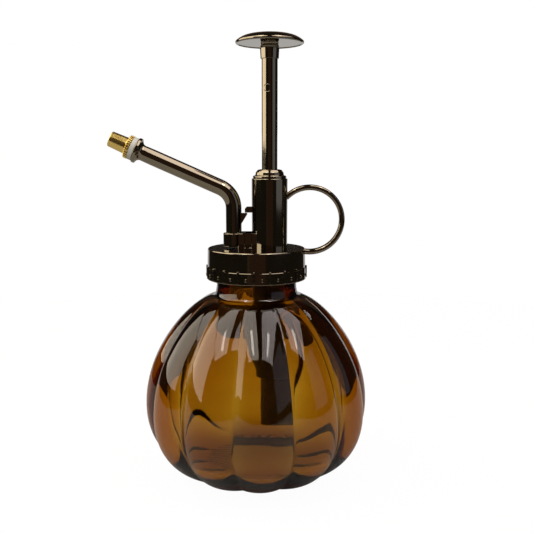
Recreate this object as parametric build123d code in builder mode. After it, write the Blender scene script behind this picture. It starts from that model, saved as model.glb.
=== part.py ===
from build123d import *
from math import cos, pi, radians, sin, sqrt
import os

# Hand mister: a lobed glass bottle with a plated plastic screw-on pump head.
# Millimetres. The origin is the centre of the bottle's foot, +Z is up, the
# spout points to -X and the finger ring to +X.

# --- driving dimensions -------------------------------------------------
# bottle
BELLY_R, BELLY_Z = 49.9, 31.3
LOBES, LOBE_PHASE, LOBE_DEPTH = 12, -85.7, 2.8      # phase: angle of the front lobe, in degrees
FOOT_R, PUNT_R, PUNT_H = 25.0, 21.0, 3.2
NECK_R, NECK_BORE_R = 17.6, 14.75
SHOULDER_Z, MOUTH_Z = 80.5, 98.5
CAVITY_R, FLOOR_R, FLOOR_Z = 44.2, 20.0, 6.5
# screw finish: 38 mm, six threads to the inch
PITCH = 25.4 / 6
THREAD_FOOT_Z, THREAD_CREST_R, THREAD_TURNS = 90.6, 18.7, 1.4
THREAD_ROOT_W, THREAD_CREST_W = 2.2, 1.0
LINER_CREST_R, LINER_TURNS, LINER_ROOT_W, LINER_CREST_W = 18.05, 1.2, 1.3, 0.7
GASKET_HOLE_R, GASKET_R = 15.0, 18.2
# pump head
CAP_R, CAP_TOP_Z, CAP_FOOT_Z = 21.4, 101.5, 88.0
SKIRT_R, SKIRT_TOP_Z = 22.0, 92.0
CAP_BORE_R, DECK_T, LINER_R = 20.4, 1.8, 19.2
RIBS, RIB_START, RIB_R, RIB_TOP_Z = 20, 16.0, 0.42, 94.3
BARREL_X, BARREL_R, BARREL_TOP_Z, BARREL_BORE_R = 5.8, 7.85, 131.7, 6.6
SOCKET_X, SOCKET_R, SOCKET_TOP_Z, SOCKET_FLOOR_Z = -9.9, 4.65, 108.0, 100.6
BLOCK_W, BLOCK_RIGHT_X, BLOCK_TOP_Z = 11.0, 1.2, 108.2
POCKET_X, POCKET_L, POCKET_W, POCKET_CORNER, POCKET_DEPTH = -3.55, 2.9, 8.6, 0.6, 2.6
CATCH_X, CATCH_FOOT_Z, CATCH_TOP_Z, CATCH_W = -5.0, 117.0, 119.5, 4.0
WATERWAY_R, WATERWAY_Z = 0.8, 101.5
# finger ring
RING_X, RING_Z, RING_R = 23.35, 113.8, 14.1
RING_THICK, RING_WIDE = 2.5, 4.0
RING_START, RING_SWEEP = -100.0, 237.0
# plunger
ROD_R, ROD_BORE_R, ROD_TOP_Z = 3.40, 2.2, 189.6
RUN = 0.06                      # running clearance, on the radius
MARK_ANGLE, MARK_Z, MARK_R, MARK_LINE, MARK_DEPTH = -109, 169.9, 1.7, 0.25, 0.12
COLLAR_FOOT_Z, COLLAR_TOP_Z = 182.1, 186.7
COLLAR_R, KNOB_R, KNOB_TOP_Z = 4.08, 14.55, 192.4
PISTON_R, PISTON_FOOT_Z, PISTON_TOP_Z, PISTON_SHANK = 4.6, 118.9, 124.8, 8.0
CUP_SEAT_R, CUP_RUN = 3.6, 0.04
# pump works below the gland
GLAND_Z, SEAL_FOOT_Z, SEAL_TOP_Z = 126.0, 127.6, 130.2
CYL_R, CYL_BORE_R, CYL_FOOT_Z, CYL_FLANGE_T = 6.0, 5.0, 55.0, 1.4
HOUSING_R, HOUSING_FOOT_Z, HOUSING_FLOOR_Z = 7.3, 43.0, 54.0
HOUSING_RIM_R, HOUSING_RIM_Z = 8.5, 97.8
INLET_BALL_R, INLET_HOLE_R, SEAT_R = 2.0, 1.3, 2.3
CAGE_FOOT_Z, CAGE_TOP_Z, CAGE_HOLES, CAGE_HOLE_R, CAGE_HOLE_X = 58.2, 59.4, 4, 0.8, 2.3
SPRING_WIRE_R, SPRING_COIL_R, SPRING_TURNS = 0.35, 4.1, 12
DIP_R, DIP_BORE_R, DIP_TOP_Z, DIP_END_Z = 3.3, 2.4, 51.4, 20.5
# spout
SPOUT_R, SPOUT_BORE_R, SPOUT_FOOT_Z, SEAL_T = 3.45, 2.3, 103.5, 1.0
SPOUT_BEND_R, SPOUT_BEND_Z, SPOUT_RISE = 9.9, 118.9, 23.8
ARM = 39.7                      # straight arm, up to the flange's outer face
FLANGE_R, FLANGE_T = 5.55, 1.5
OUTLET_BALL_R, OUTLET_HOLE_R, BALL_LIFT = 1.7, 1.1, 1.2
STOP_T, STOP_HOLES, STOP_HOLE_R, STOP_HOLE_X = 1.5, 3, 0.55, 1.3
BARB_X, BARB_FOOT_Z, BARB_TOP_Z, BARB_W = -3.95, 111.0, 116.7, 3.0
WASHER_R, WASHER_T = 5.05, 2.0
STEM_R, STEM_BORE_R, STEM_END, STEM_GRIP = 2.68, 1.0, 47.0, 9.0
PLUG_R, PLUG_T, PLUG_NOTCHES, PLUG_NOTCH_L, PLUG_NOTCH_W = 2.2, 1.0, 4, 1.2, 0.6
KNURL_R, NOZZLE_R, NOZZLE_TIP_R, NOZZLE_END = 5.15, 3.63, 3.38, 51.5
KNURLS, KNURL_L, MIST_HOLE_R = 28, 1.9, 0.4
GAP = 0.08                      # between parts that meet face to face across a joint

# --- reference frames ---------------------------------------------------
FOOT = Plane(origin=(0, 0, 0))
BARREL = Plane(origin=(BARREL_X, 0, 0))
SOCKET = Plane(origin=(SOCKET_X, 0, 0))
rise = radians(SPOUT_RISE)
arm_way = Vector(-cos(rise), 0, sin(rise))
bend_centre = Vector(SOCKET_X - SPOUT_BEND_R, 0, SPOUT_BEND_Z)
arm_start = bend_centre + Vector(sin(rise), 0, cos(rise)) * SPOUT_BEND_R
ARM_FRAME = Plane(origin=arm_start, x_dir=(sin(rise), 0, cos(rise)), z_dir=arm_way)


def turned(seat, *points):
    """Face outlined by (radius, height) points in the frame seat, for a revolve about its Z."""
    with BuildSketch(Plane(origin=seat.origin, x_dir=seat.x_dir, z_dir=-seat.y_dir)) as outline:
        with BuildLine():
            Polyline(*points, close=True)
        make_face()
    return outline.sketch


def about(seat):
    return Axis(seat.origin, seat.z_dir)


def disc(seat, radius, height):
    """Round face in the frame seat, at this height."""
    with BuildSketch(seat.offset(height)) as face:
        Circle(radius)
    return face.sketch


def ball_outline(seat, radius, height):
    """Half disc whose revolve is a ball with its centre at this height."""
    with BuildSketch(Plane(origin=seat.origin, x_dir=seat.x_dir, z_dir=-seat.y_dir)) as outline:
        with BuildLine():
            half = ThreePointArc((0, height - radius), (radius, height), (0, height + radius))
            Line(half @ 1, half @ 0)
        make_face()
    return outline.sketch


def write(builder, name):
    builder.part.label = name
    export_step(builder.part, f"parts/{name}.step")


os.makedirs("parts", exist_ok=True)


# --- bottle -------------------------------------------------------------
def bezier_at(corners, t):
    """Point at t on the cubic curve with these four (radius, height) corners."""
    weights = ((1 - t) ** 3, 3 * (1 - t) ** 2 * t, 3 * (1 - t) * t ** 2, t ** 3)
    return tuple(sum(w * c[i] for w, c in zip(weights, corners)) for i in (0, 1))


def lobed_outline(crest_r, depth, z):
    """Face of round lobes that meet in creases, which lie depth inside the crests."""
    half = pi / LOBES
    crease_r = crest_r - depth
    with BuildSketch(Plane.XY.offset(z)) as face:
        with BuildLine():
            for k in range(LOBES):
                a = radians(LOBE_PHASE) + (2 * k - 1) * half
                ThreePointArc((crease_r * cos(a), crease_r * sin(a)),
                              (crest_r * cos(a + half), crest_r * sin(a + half)),
                              (crease_r * cos(a + 2 * half), crease_r * sin(a + 2 * half)))
        make_face()
    return face.sketch


# Crest curve of the lobes, from the foot out to the belly, and from there up to the neck.
# The lobes fade out quickly at the foot and slowly towards the neck.
low_curve = ((FOOT_R, 0), (29.7, 0), (BELLY_R, 7.5), (BELLY_R, BELLY_Z))
high_curve = ((BELLY_R, BELLY_Z), (BELLY_R, 58.9), (27.3, SHOULDER_Z - 0.5), (NECK_R, SHOULDER_Z))
levels = []
for t in (0.0, 0.12, 0.3, 0.5, 0.75):
    r, z = bezier_at(low_curve, t)
    levels.append((r, LOBE_DEPTH * max((r - FOOT_R) / (BELLY_R - FOOT_R), 0.06) ** 0.31, z))
for t in (0.0, 0.25, 0.45, 0.65, 0.8, 0.92, 1.0):
    r, z = bezier_at(high_curve, t)
    levels.append((r, LOBE_DEPTH * max((r - NECK_R) / (BELLY_R - NECK_R), 0.04) ** 1.1, z))


def screw_ridge(wall_r, crest_r, foot_z, turns, root_w, crest_w):
    """Ridge of a right-hand thread that stands on the wall at wall_r and reaches crest_r."""
    sink = 0.2 if crest_r > wall_r else -0.2
    path = Helix(pitch=PITCH, height=PITCH * turns, radius=wall_r, center=(0, 0, foot_z))
    with BuildSketch(Plane(origin=(0, 0, foot_z), x_dir=(1, 0, 0), z_dir=(0, -1, 0))) as tooth:
        with BuildLine():
            Polyline((wall_r - sink, -root_w / 2), (crest_r, -crest_w / 2), (crest_r, crest_w / 2),
                     (wall_r - sink, root_w / 2), close=True)
        make_face()
    return sweep(tooth.sketch, path=path, is_frenet=True, mode=Mode.PRIVATE)


glass_thread = screw_ridge(NECK_R, THREAD_CREST_R, THREAD_FOOT_Z, THREAD_TURNS,
                           THREAD_ROOT_W, THREAD_CREST_W)
with BuildPart() as bottle:
    loft([lobed_outline(r, depth, z) for r, depth, z in levels])
    extrude(disc(FOOT, NECK_R, SHOULDER_Z - 1.0), amount=MOUTH_Z - SHOULDER_Z + 1.0)
    # hollow, with a thick floor over the pushed-up foot
    with BuildSketch(Plane.XZ):
        with BuildLine():
            floor = Line((0, FLOOR_Z + 1.0), (FLOOR_R, FLOOR_Z))
            belly = Bezier(floor @ 1, (36.0, FLOOR_Z - 1.0), (CAVITY_R, 14.0), (CAVITY_R, BELLY_Z))
            roof = Bezier(belly @ 1, (CAVITY_R, 56.0), (24.0, 76.2), (NECK_BORE_R, SHOULDER_Z - 2.3))
            Polyline(roof @ 1, (NECK_BORE_R, MOUTH_Z + 1.0), (0, MOUTH_Z + 1.0), floor @ 0)
        make_face()
    revolve(axis=Axis.Z, mode=Mode.SUBTRACT)
    with BuildSketch(Plane.XZ):
        with BuildLine():
            punt = Bezier((PUNT_R, -0.5), (PUNT_R - 2.0, PUNT_H), (8.0, PUNT_H), (0, PUNT_H))
            Polyline(punt @ 1, (0, -0.5), punt @ 0)
        make_face()
    revolve(axis=Axis.Z, mode=Mode.SUBTRACT)
    add(glass_thread)
write(bottle, "bottle")

# --- screw cap and what seals it ------------------------------------------
deck_z = CAP_TOP_Z - DECK_T
# Loose rubber ring on the bottle's mouth.
with BuildPart() as cap_gasket:
    revolve(turned(FOOT, (GASKET_HOLE_R, MOUTH_Z + GAP), (GASKET_R, MOUTH_Z + GAP),
                   (GASKET_R, deck_z - GAP), (GASKET_HOLE_R, deck_z - GAP)), axis=Axis.Z)
write(cap_gasket, "cap_gasket")

# Plated moulding: ribbed cap, deck, pump barrel, spout socket, the block that
# joins them, and the catch that holds the spout.
with BuildPart() as pump_head:
    revolve(turned(FOOT, (0, CAP_TOP_Z), (CAP_R - 0.8, CAP_TOP_Z), (CAP_R - 0.25, CAP_TOP_Z - 0.35),
                   (CAP_R, CAP_TOP_Z - 1.1), (CAP_R, SKIRT_TOP_Z + 0.3), (SKIRT_R, SKIRT_TOP_Z),
                   (SKIRT_R, CAP_FOOT_Z + 0.3), (SKIRT_R - 0.3, CAP_FOOT_Z), (CAP_BORE_R, CAP_FOOT_Z),
                   (CAP_BORE_R, deck_z), (0, deck_z)), axis=Axis.Z)
    rib_foot_z = CAP_FOOT_Z + 0.6
    with BuildSketch(Plane.XY.offset(rib_foot_z)):
        with PolarLocations(SKIRT_R - 0.1, RIBS, start_angle=RIB_START):
            Circle(RIB_R)
    extrude(amount=RIB_TOP_Z - rib_foot_z)
    # the barrel is slightly fuller at its top than at the deck
    revolve(turned(BARREL, (0, deck_z), (BARREL_R - 0.1, deck_z), (BARREL_R, BARREL_TOP_Z - 0.6),
                   (BARREL_R - 0.5, BARREL_TOP_Z), (0, BARREL_TOP_Z)), axis=about(BARREL))
    revolve(turned(SOCKET, (0, deck_z), (SOCKET_R, deck_z), (SOCKET_R, SOCKET_TOP_Z - 0.4),
                   (SOCKET_R - 0.4, SOCKET_TOP_Z), (0, SOCKET_TOP_Z)), axis=about(SOCKET))
    block_left_x = SOCKET_X + 2.0
    with BuildSketch(Plane(origin=((block_left_x + BLOCK_RIGHT_X) / 2, 0, deck_z))):
        Rectangle(BLOCK_RIGHT_X - block_left_x, BLOCK_W)
    extrude(amount=BLOCK_TOP_Z - deck_z)
    with BuildSketch(Plane(origin=(POCKET_X, 0, BLOCK_TOP_Z))):
        RectangleRounded(POCKET_L, POCKET_W, POCKET_CORNER)
    extrude(amount=-POCKET_DEPTH, mode=Mode.SUBTRACT)
    barrel_left = BARREL_X - BARREL_R + 0.8
    with BuildSketch(Plane.XZ.offset(-CATCH_W / 2)):
        with BuildLine():
            Polyline((barrel_left, CATCH_FOOT_Z), (CATCH_X, CATCH_FOOT_Z), (CATCH_X, CATCH_TOP_Z - 0.8),
                     (CATCH_X + 0.8, CATCH_TOP_Z), (barrel_left, CATCH_TOP_Z), close=True)
        make_face()
    extrude(amount=CATCH_W)
    # barrel bored right through, socket down to its floor, and the waterway between them
    extrude(disc(BARREL, BARREL_BORE_R, deck_z - 1), amount=BARREL_TOP_Z, mode=Mode.SUBTRACT)
    extrude(disc(SOCKET, SPOUT_R, SPOUT_FOOT_Z - SEAL_T), amount=10, mode=Mode.SUBTRACT)
    extrude(disc(SOCKET, SPOUT_BORE_R, SOCKET_FLOOR_Z), amount=10, mode=Mode.SUBTRACT)
    with BuildSketch(Plane(origin=(SOCKET_X, 0, WATERWAY_Z), x_dir=(0, 1, 0), z_dir=(1, 0, 0))):
        Circle(WATERWAY_R)
    extrude(amount=BARREL_X - SOCKET_X, mode=Mode.SUBTRACT)
write(pump_head, "pump_head")

# Plain plastic liner pressed into the plated cap. It carries the screw thread,
# which starts half a pitch above the glass one and turns in step with it.
liner_thread = screw_ridge(LINER_R, LINER_CREST_R, THREAD_FOOT_Z + PITCH / 2, LINER_TURNS,
                           LINER_ROOT_W, LINER_CREST_W)
with BuildPart() as thread_liner:
    revolve(turned(FOOT, (LINER_R, CAP_FOOT_Z + 0.5), (CAP_BORE_R, CAP_FOOT_Z + 0.5),
                   (CAP_BORE_R, deck_z), (LINER_R, deck_z)), axis=Axis.Z)
    add(liner_thread)
write(thread_liner, "thread_liner")

# --- finger ring ----------------------------------------------------------
# Oval-section hoop, from the barrel over the top and round to the cap's shoulder.
with BuildPart() as finger_ring:
    with BuildLine(Plane(origin=(RING_X, 0, RING_Z), x_dir=(1, 0, 0), z_dir=(0, -1, 0))) as hoop:
        CenterArc((0, 0), RING_R, RING_START, RING_SWEEP)
    hoop_start = Plane(origin=hoop.line @ 0, x_dir=(0, 1, 0), z_dir=hoop.line % 0)
    with BuildSketch(hoop_start):
        Ellipse(RING_WIDE / 2, RING_THICK / 2)
    sweep(path=hoop.line)
    extrude(disc(BARREL, BARREL_R, CAP_TOP_Z), amount=BARREL_TOP_Z - CAP_TOP_Z, mode=Mode.SUBTRACT)
    extrude(disc(FOOT, CAP_R, SKIRT_TOP_Z), amount=CAP_TOP_Z - SKIRT_TOP_Z, mode=Mode.SUBTRACT)
write(finger_ring, "finger_ring")

# --- gland at the top of the barrel ---------------------------------------
with BuildPart() as gland_nut:
    revolve(turned(BARREL, (ROD_R + RUN, SEAL_TOP_Z), (CYL_BORE_R, SEAL_TOP_Z), (CYL_BORE_R, GLAND_Z),
                   (BARREL_BORE_R, GLAND_Z), (BARREL_BORE_R, BARREL_TOP_Z), (7.3, BARREL_TOP_Z),
                   (7.3, BARREL_TOP_Z + 1.0), (6.9, BARREL_TOP_Z + 1.4), (6.2, BARREL_TOP_Z + 1.5),
                   (6.0, BARREL_TOP_Z + 1.9), (5.9, BARREL_TOP_Z + 2.6), (5.4, BARREL_TOP_Z + 3.4),
                   (4.6, BARREL_TOP_Z + 3.9), (ROD_R + RUN, BARREL_TOP_Z + 4.0)), axis=about(BARREL))
write(gland_nut, "gland_nut")

with BuildPart() as gland_seal:
    revolve(turned(BARREL, (ROD_R + 0.04, SEAL_FOOT_Z), (CYL_BORE_R, SEAL_FOOT_Z),
                   (CYL_BORE_R, SEAL_TOP_Z), (ROD_R + 0.04, SEAL_TOP_Z)), axis=about(BARREL))
write(gland_seal, "gland_seal")

# --- pump cylinder, its housing and the inlet valve -----------------------
# Water rises between the cylinder and the housing to the block and the spout.
with BuildPart() as valve_housing:
    revolve(turned(BARREL, (DIP_R, HOUSING_FOOT_Z), (HOUSING_R - 1.2, HOUSING_FOOT_Z),
                   (HOUSING_R, HOUSING_FOOT_Z + 1.2),
                   (HOUSING_R, HOUSING_RIM_Z), (HOUSING_RIM_R, HOUSING_RIM_Z), (HOUSING_RIM_R, deck_z),
                   (BARREL_BORE_R, deck_z),
                   (BARREL_BORE_R, HOUSING_FLOOR_Z), (SEAT_R, HOUSING_FLOOR_Z),
                   (INLET_HOLE_R, HOUSING_FLOOR_Z - SEAT_R + INLET_HOLE_R),
                   (INLET_HOLE_R, DIP_TOP_Z), (DIP_R, DIP_TOP_Z)), axis=about(BARREL))
write(valve_housing, "valve_housing")

with BuildPart() as pump_cylinder:
    flange_z = GLAND_Z - CYL_FLANGE_T
    revolve(turned(BARREL, (CYL_BORE_R, CYL_FOOT_Z), (CYL_R, CYL_FOOT_Z), (CYL_R, flange_z),
                   (BARREL_BORE_R, flange_z), (BARREL_BORE_R, GLAND_Z), (CYL_BORE_R, GLAND_Z)),
            axis=about(BARREL))
write(pump_cylinder, "pump_cylinder")

# The ball rests in the 45 degree cone of its seat.
inlet_ball_z = HOUSING_FLOOR_Z - SEAT_R + INLET_BALL_R * sqrt(2) + GAP
with BuildPart() as inlet_ball:
    revolve(ball_outline(BARREL, INLET_BALL_R, inlet_ball_z), axis=about(BARREL))
write(inlet_ball, "inlet_ball")

# Slotted disc that keeps the ball in its seat and carries the spring's foot.
with BuildPart() as ball_cage:
    revolve(turned(BARREL, (0, CAGE_FOOT_Z), (CYL_BORE_R, CAGE_FOOT_Z), (CYL_BORE_R, CAGE_TOP_Z),
                   (0, CAGE_TOP_Z)), axis=about(BARREL))
    with BuildSketch(BARREL.offset(CAGE_FOOT_Z)):
        with PolarLocations(CAGE_HOLE_X, CAGE_HOLES):
            Circle(CAGE_HOLE_R)
    extrude(amount=CAGE_TOP_Z - CAGE_FOOT_Z, mode=Mode.SUBTRACT)
write(ball_cage, "ball_cage")

with BuildPart() as dip_tube:
    revolve(turned(BARREL, (DIP_BORE_R, DIP_END_Z), (DIP_R, DIP_END_Z), (DIP_R, DIP_TOP_Z),
                   (DIP_BORE_R, DIP_TOP_Z)), axis=about(BARREL))
write(dip_tube, "dip_tube")

# --- plunger --------------------------------------------------------------
coil_foot = CAGE_TOP_Z + SPRING_WIRE_R
coil_height = PISTON_FOOT_Z - CAGE_TOP_Z - 2 * SPRING_WIRE_R - GAP
with BuildPart() as return_spring:
    with BuildLine() as coil:
        Helix(pitch=coil_height / SPRING_TURNS, height=coil_height, radius=SPRING_COIL_R,
              center=(BARREL_X, 0, coil_foot))
    with BuildSketch(Plane(origin=coil.line @ 0, z_dir=coil.line % 0)):
        Circle(SPRING_WIRE_R)
    sweep(path=coil.line, is_frenet=True)
write(return_spring, "return_spring")

cup_foot, cup_top = PISTON_FOOT_Z + 1.4, PISTON_TOP_Z - 1.4
with BuildPart() as piston:
    revolve(turned(BARREL, (0, PISTON_FOOT_Z), (PISTON_R, PISTON_FOOT_Z), (PISTON_R, cup_foot),
                   (CUP_SEAT_R, cup_foot), (CUP_SEAT_R, cup_top), (PISTON_R, cup_top),
                   (PISTON_R, PISTON_TOP_Z), (ROD_BORE_R, PISTON_TOP_Z),
                   (ROD_BORE_R, PISTON_TOP_Z + PISTON_SHANK), (0, PISTON_TOP_Z + PISTON_SHANK)),
            axis=about(BARREL))
write(piston, "piston")

with BuildPart() as piston_cup:
    revolve(turned(BARREL, (CUP_SEAT_R, cup_foot), (CYL_BORE_R - 0.4, cup_foot),
                   (CYL_BORE_R - CUP_RUN, cup_foot + 0.6), (CYL_BORE_R - CUP_RUN, cup_top - 0.3),
                   (CYL_BORE_R - 0.4, cup_top), (CUP_SEAT_R, cup_top)), axis=about(BARREL))
write(piston_cup, "piston_cup")

# Round witness mark on the rod's front, a groove of constant depth.
mark_way = Vector(cos(radians(MARK_ANGLE)), sin(radians(MARK_ANGLE)), 0)
with BuildPart() as witness_mark:
    with BuildSketch(Plane(origin=(BARREL_X, 0, MARK_Z), x_dir=(0, 0, 1), z_dir=mark_way)):
        Circle(MARK_R)
        Circle(MARK_R - MARK_LINE, mode=Mode.SUBTRACT)
    extrude(amount=ROD_R + 1)
    extrude(disc(BARREL, ROD_R - MARK_DEPTH, MARK_Z - 2 * MARK_R), amount=4 * MARK_R, mode=Mode.SUBTRACT)

with BuildPart() as plunger_rod:
    revolve(turned(BARREL, (ROD_BORE_R, PISTON_TOP_Z), (ROD_R, PISTON_TOP_Z), (ROD_R, ROD_TOP_Z),
                   (ROD_BORE_R, ROD_TOP_Z)), axis=about(BARREL))
    add(witness_mark.part, mode=Mode.SUBTRACT)
write(plunger_rod, "plunger_rod")

with BuildPart() as knob_collar:
    revolve(turned(BARREL, (ROD_R, COLLAR_FOOT_Z), (3.75, COLLAR_FOOT_Z), (3.9, COLLAR_FOOT_Z + 0.25),
                   (COLLAR_R, COLLAR_TOP_Z - 0.3), (COLLAR_R - 0.13, COLLAR_TOP_Z),
                   (ROD_R, COLLAR_TOP_Z)),
            axis=about(BARREL))
write(knob_collar, "knob_collar")

# Mushroom knob: flared neck, flat underside, thin rim, conical flank and shallow crown.
under_z = COLLAR_TOP_Z + 1.8
with BuildPart() as knob:
    with BuildSketch(Plane(origin=BARREL.origin, x_dir=(1, 0, 0), z_dir=(0, -1, 0))):
        with BuildLine():
            neck = Polyline((ROD_R, COLLAR_TOP_Z), (COLLAR_R - 0.13, COLLAR_TOP_Z),
                            (COLLAR_R, COLLAR_TOP_Z + 0.3),
                            (3.6, under_z - 0.2), (3.8, under_z), (KNOB_R - 1.2, under_z))
            rim = Spline(neck @ 1, (KNOB_R - 0.5, under_z - 0.35), (KNOB_R, under_z),
                         (KNOB_R - 0.25, under_z + 0.45))
            flank = Spline(rim @ 1, (11.6, 190.7), (9.3, 191.85), (8.0, 192.1))
            crown = Spline(flank @ 1, (4.5, 192.35), (0, KNOB_TOP_Z), tangents=((-1, 0.12), (-1, 0)))
            Polyline(crown @ 1, (0, ROD_TOP_Z), (ROD_R, ROD_TOP_Z), neck @ 0)
        make_face()
    revolve(axis=about(BARREL))
write(knob, "knob")

# --- spout ------------------------------------------------------------------
# Disc seal under the spout; its hole is the outlet ball's seat.
with BuildPart() as spout_seal:
    revolve(turned(SOCKET, (OUTLET_HOLE_R, SPOUT_FOOT_Z - SEAL_T), (SPOUT_R, SPOUT_FOOT_Z - SEAL_T),
                   (SPOUT_R, SPOUT_FOOT_Z), (OUTLET_HOLE_R, SPOUT_FOOT_Z)), axis=about(SOCKET))
write(spout_seal, "spout_seal")

outlet_ball_z = SPOUT_FOOT_Z + sqrt(OUTLET_BALL_R ** 2 - OUTLET_HOLE_R ** 2) + GAP
with BuildPart() as outlet_ball:
    revolve(ball_outline(SOCKET, OUTLET_BALL_R, outlet_ball_z), axis=about(SOCKET))
write(outlet_ball, "outlet_ball")

# Slotted plug that stops the ball after its lift.
stop_foot_z = outlet_ball_z + OUTLET_BALL_R + BALL_LIFT + 0.3
with BuildPart() as outlet_stop:
    extrude(disc(SOCKET, SPOUT_BORE_R, stop_foot_z), amount=STOP_T)
    with BuildSketch(SOCKET.offset(stop_foot_z)):
        with PolarLocations(STOP_HOLE_X, STOP_HOLES):
            Circle(STOP_HOLE_R)
    extrude(amount=STOP_T, mode=Mode.SUBTRACT)
write(outlet_stop, "outlet_stop")

# Bent tube with a flared, flanged end, and the barb that clips under the catch.
with BuildLine() as run:
    riser = Line((SOCKET_X, 0, SPOUT_FOOT_Z), (SOCKET_X, 0, SPOUT_BEND_Z))
    bend = TangentArc(riser @ 1, arm_start, tangent=riser % 1)
    Line(bend @ 1, arm_start + arm_way * ARM)
with BuildPart() as spout_tube:
    with BuildSketch(SOCKET.offset(SPOUT_FOOT_Z)):
        Circle(SPOUT_R)
    sweep(path=run.line)
    revolve(turned(ARM_FRAME, (0, ARM - 3.2), (SPOUT_R - 0.1, ARM - 3.2), (SPOUT_R + 0.3, ARM - 2.6),
                   (FLANGE_R - 0.6, ARM - FLANGE_T), (FLANGE_R, ARM - FLANGE_T + 0.3),
                   (FLANGE_R, ARM - 0.2), (FLANGE_R - 0.2, ARM), (0, ARM)), axis=about(ARM_FRAME))
    with BuildSketch(Plane.XZ.offset(-BARB_W / 2)):
        with BuildLine():
            Polyline((SOCKET_X, BARB_FOOT_Z), (SOCKET_X + SPOUT_R - 0.15, BARB_FOOT_Z + 0.9),
                     (BARB_X, BARB_TOP_Z - 0.5), (BARB_X, BARB_TOP_Z), (SOCKET_X, BARB_TOP_Z), close=True)
        make_face()
    extrude(amount=BARB_W)
    with BuildSketch(SOCKET.offset(SPOUT_FOOT_Z)):
        Circle(SPOUT_BORE_R)
    sweep(path=run.line, mode=Mode.SUBTRACT)
write(spout_tube, "spout_tube")

# --- nozzle -----------------------------------------------------------------
# Stem pressed into the end of the spout; the nozzle cap screws on it.
with BuildPart() as nozzle_stem:
    revolve(turned(ARM_FRAME, (STEM_BORE_R, ARM - STEM_GRIP), (SPOUT_BORE_R, ARM - STEM_GRIP),
                   (SPOUT_BORE_R, ARM), (STEM_R, ARM), (STEM_R, STEM_END - 0.4), (STEM_R - 0.4, STEM_END),
                   (STEM_BORE_R, STEM_END)), axis=about(ARM_FRAME))
write(nozzle_stem, "nozzle_stem")

# Plug on the stem's end: four notches in its rim set the water spinning.
with BuildPart() as swirl_plug:
    extrude(disc(ARM_FRAME, PLUG_R, STEM_END), amount=PLUG_T)
    with BuildSketch(ARM_FRAME.offset(STEM_END)):
        with PolarLocations(PLUG_R - 0.5, PLUG_NOTCHES):
            Rectangle(PLUG_NOTCH_L, PLUG_NOTCH_W)
    extrude(amount=PLUG_T, mode=Mode.SUBTRACT)
write(swirl_plug, "swirl_plug")

washer_foot = ARM + GAP
with BuildPart() as nozzle_washer:
    revolve(turned(ARM_FRAME, (STEM_R + RUN, washer_foot), (WASHER_R - 0.15, washer_foot),
                   (WASHER_R, washer_foot + 0.15), (WASHER_R, washer_foot + WASHER_T - 0.15),
                   (WASHER_R - 0.15, washer_foot + WASHER_T), (STEM_R + RUN, washer_foot + WASHER_T)),
            axis=about(ARM_FRAME))
write(nozzle_washer, "nozzle_washer")

# Brass cap with a knurled collar and a fine mist hole.
cap_foot = washer_foot + WASHER_T + GAP
with BuildPart() as nozzle_cap:
    revolve(turned(ARM_FRAME, (STEM_R + RUN, cap_foot), (KNURL_R - 0.2, cap_foot), (KNURL_R, cap_foot + 0.2),
                   (KNURL_R, cap_foot + 1.6), (KNURL_R - 0.3, cap_foot + 1.9), (NOZZLE_R + 0.1, cap_foot + 2.1),
                   (NOZZLE_R, cap_foot + 2.4), (NOZZLE_TIP_R, NOZZLE_END - 0.3),
                   (NOZZLE_TIP_R - 0.3, NOZZLE_END), (1.0, NOZZLE_END), (MIST_HOLE_R, NOZZLE_END - 0.6),
                   (MIST_HOLE_R, NOZZLE_END - 2.0), (STEM_R + RUN, NOZZLE_END - 2.4)),
            axis=about(ARM_FRAME))
    with BuildSketch(ARM_FRAME.offset(cap_foot)):
        with PolarLocations(KNURL_R + 0.05, KNURLS):
            RegularPolygon(0.28, 4)
    extrude(amount=KNURL_L, mode=Mode.SUBTRACT)
write(nozzle_cap, "nozzle_cap")
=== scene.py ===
from math import atan2, cos, pi, radians, sin, sqrt, tan, tau

import bpy
from mathutils import Matrix, Vector


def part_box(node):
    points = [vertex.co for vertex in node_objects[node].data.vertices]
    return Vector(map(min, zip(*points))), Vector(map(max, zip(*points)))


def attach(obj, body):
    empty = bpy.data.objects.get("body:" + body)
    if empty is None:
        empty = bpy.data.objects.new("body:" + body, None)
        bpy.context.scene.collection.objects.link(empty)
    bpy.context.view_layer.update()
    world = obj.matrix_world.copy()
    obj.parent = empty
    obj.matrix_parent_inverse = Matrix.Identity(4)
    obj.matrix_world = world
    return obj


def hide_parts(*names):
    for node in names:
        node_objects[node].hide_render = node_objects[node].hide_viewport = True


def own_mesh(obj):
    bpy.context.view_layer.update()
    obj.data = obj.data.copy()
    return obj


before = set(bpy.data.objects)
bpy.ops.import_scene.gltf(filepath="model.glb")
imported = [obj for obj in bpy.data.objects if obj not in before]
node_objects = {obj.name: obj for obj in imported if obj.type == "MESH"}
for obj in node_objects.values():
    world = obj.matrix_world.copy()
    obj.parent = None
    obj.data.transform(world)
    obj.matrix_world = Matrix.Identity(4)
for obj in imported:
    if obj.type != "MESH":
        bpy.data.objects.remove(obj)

bpy.ops.object.select_all(action="DESELECT")
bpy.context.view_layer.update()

# ---------------------------------------------------------------------------
# Studio: a small pale table top in an unlit room, two softboxes overhead with a gap
# between them and a brighter lamp in each, a window at the left, dim boards at the right,
# in front and behind. What the glass and the viewer see behind is plain white.
# ---------------------------------------------------------------------------
scene = bpy.context.scene
scene.view_settings.view_transform = "Standard"
scene.cycles.max_bounces = 20
scene.cycles.transmission_bounces = 20
scene.cycles.glossy_bounces = 8
scene.cycles.sample_clamp_indirect = 8.0
scene.cycles.blur_glossy = 0.3


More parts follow.
